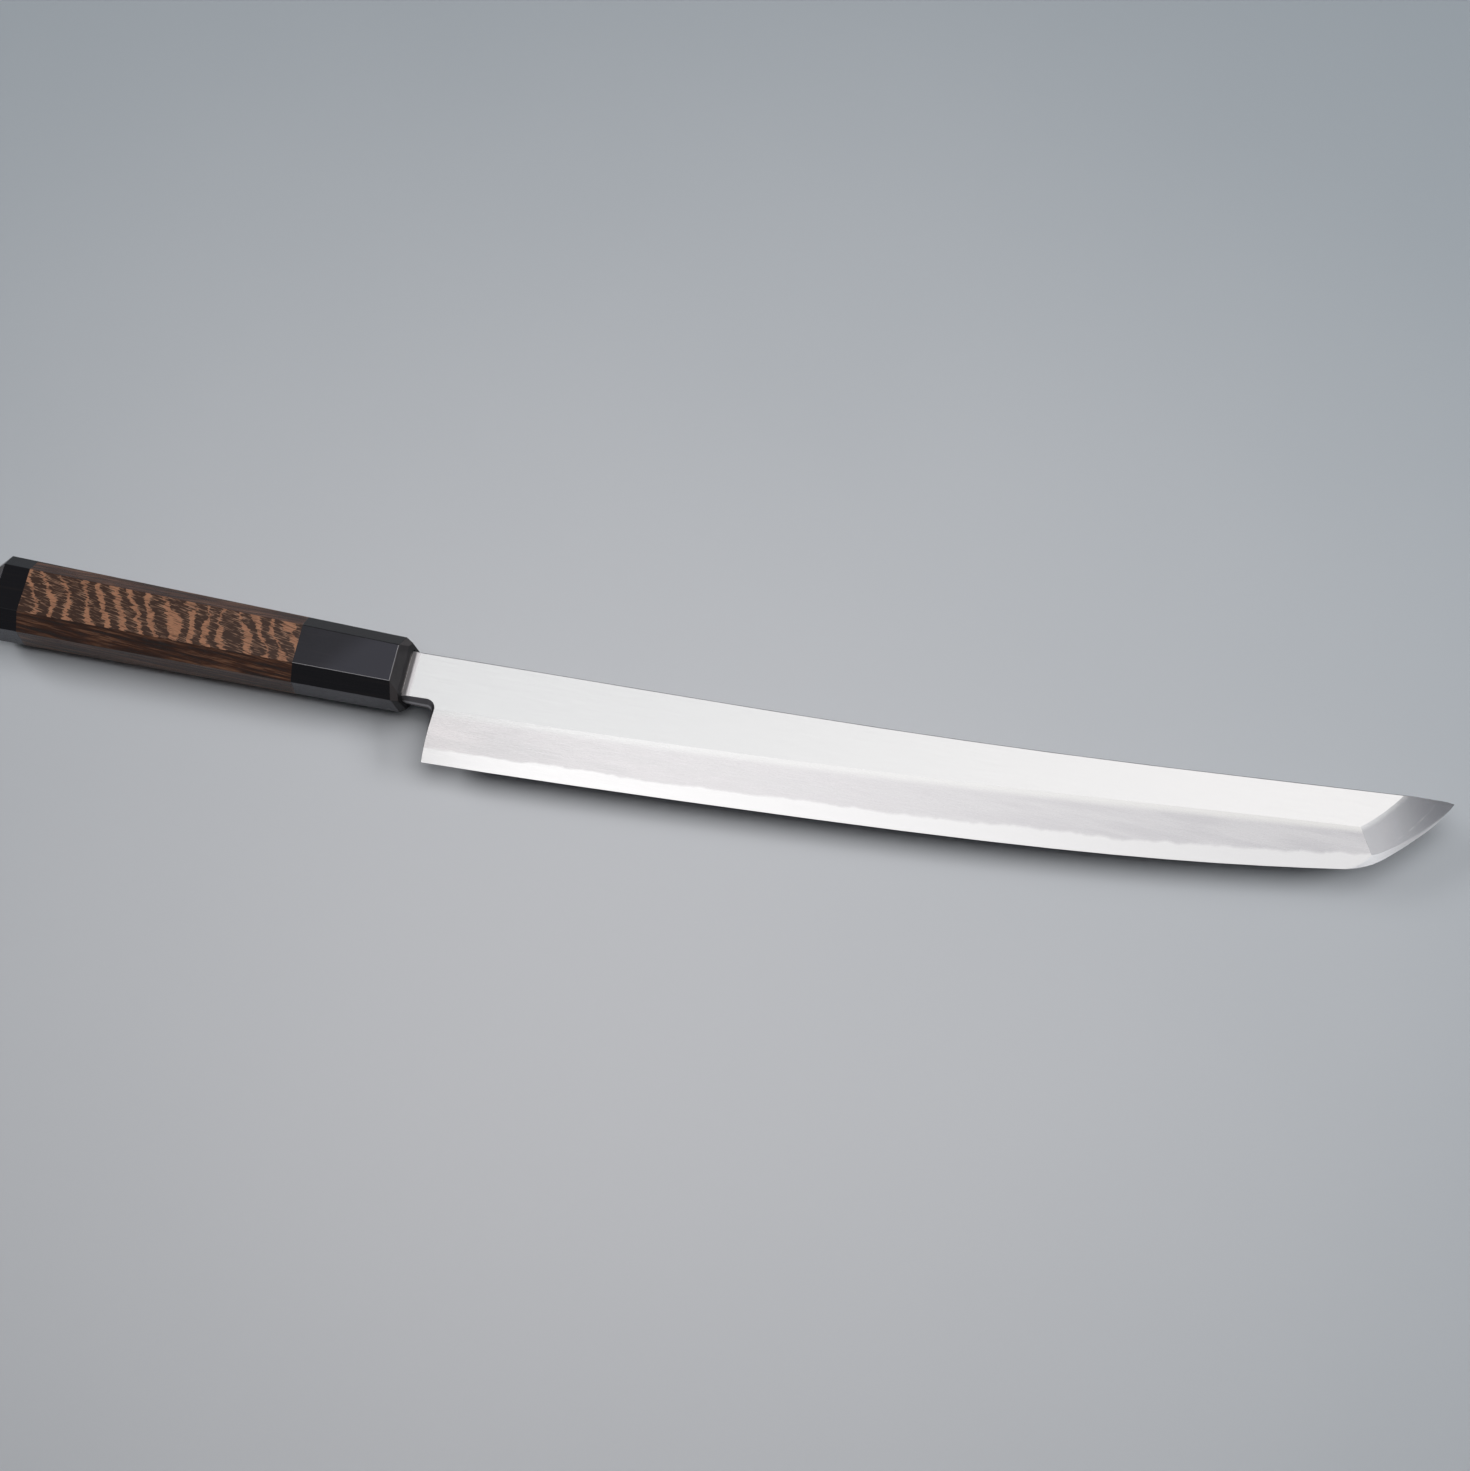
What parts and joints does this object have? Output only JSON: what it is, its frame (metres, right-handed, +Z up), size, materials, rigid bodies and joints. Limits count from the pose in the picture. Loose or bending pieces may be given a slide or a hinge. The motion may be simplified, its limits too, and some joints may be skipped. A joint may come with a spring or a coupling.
{
  "type": "yanagiba knife",
  "caption": "Right-handed yanagiba knife with a laminated single-bevel blade, a clipped point and a tapered octagonal wooden handle with horn ferrule and end cap.",
  "frame": {"origin": "on the handle's lower flat, halfway along the handle, in the knife's middle plane between edge and spine side of the handle", "axes": "+X along the knife from handle to point, +Y from the cutting edge's side to the spine's side, +Z up from the hollow side of the blade to its bevel side"},
  "size_m": [0.4763, 0.0526, 0.0221],
  "materials": {
    "soft_iron": "satin ground, with the grinding lines along the bevel",
    "edge_steel": "finely polished on stones",
    "horn": "polished",
    "wenge": "oiled and polished, with a wavy figure on the upper flat",
    "dowel_wood": "raw, inside the handle",
    "seal_resin": "smooth cured resin"
  },
  "bodies": {
    "root": {"blade_soft_iron": "soft_iron", "blade_edge_steel": "edge_steel", "ferrule": "horn", "tang_seal": "seal_resin", "handle_body": "wenge", "end_cap": "horn", "core_dowel": "dowel_wood", "rear_dowel": "dowel_wood"}
  },
  "joints": []
}
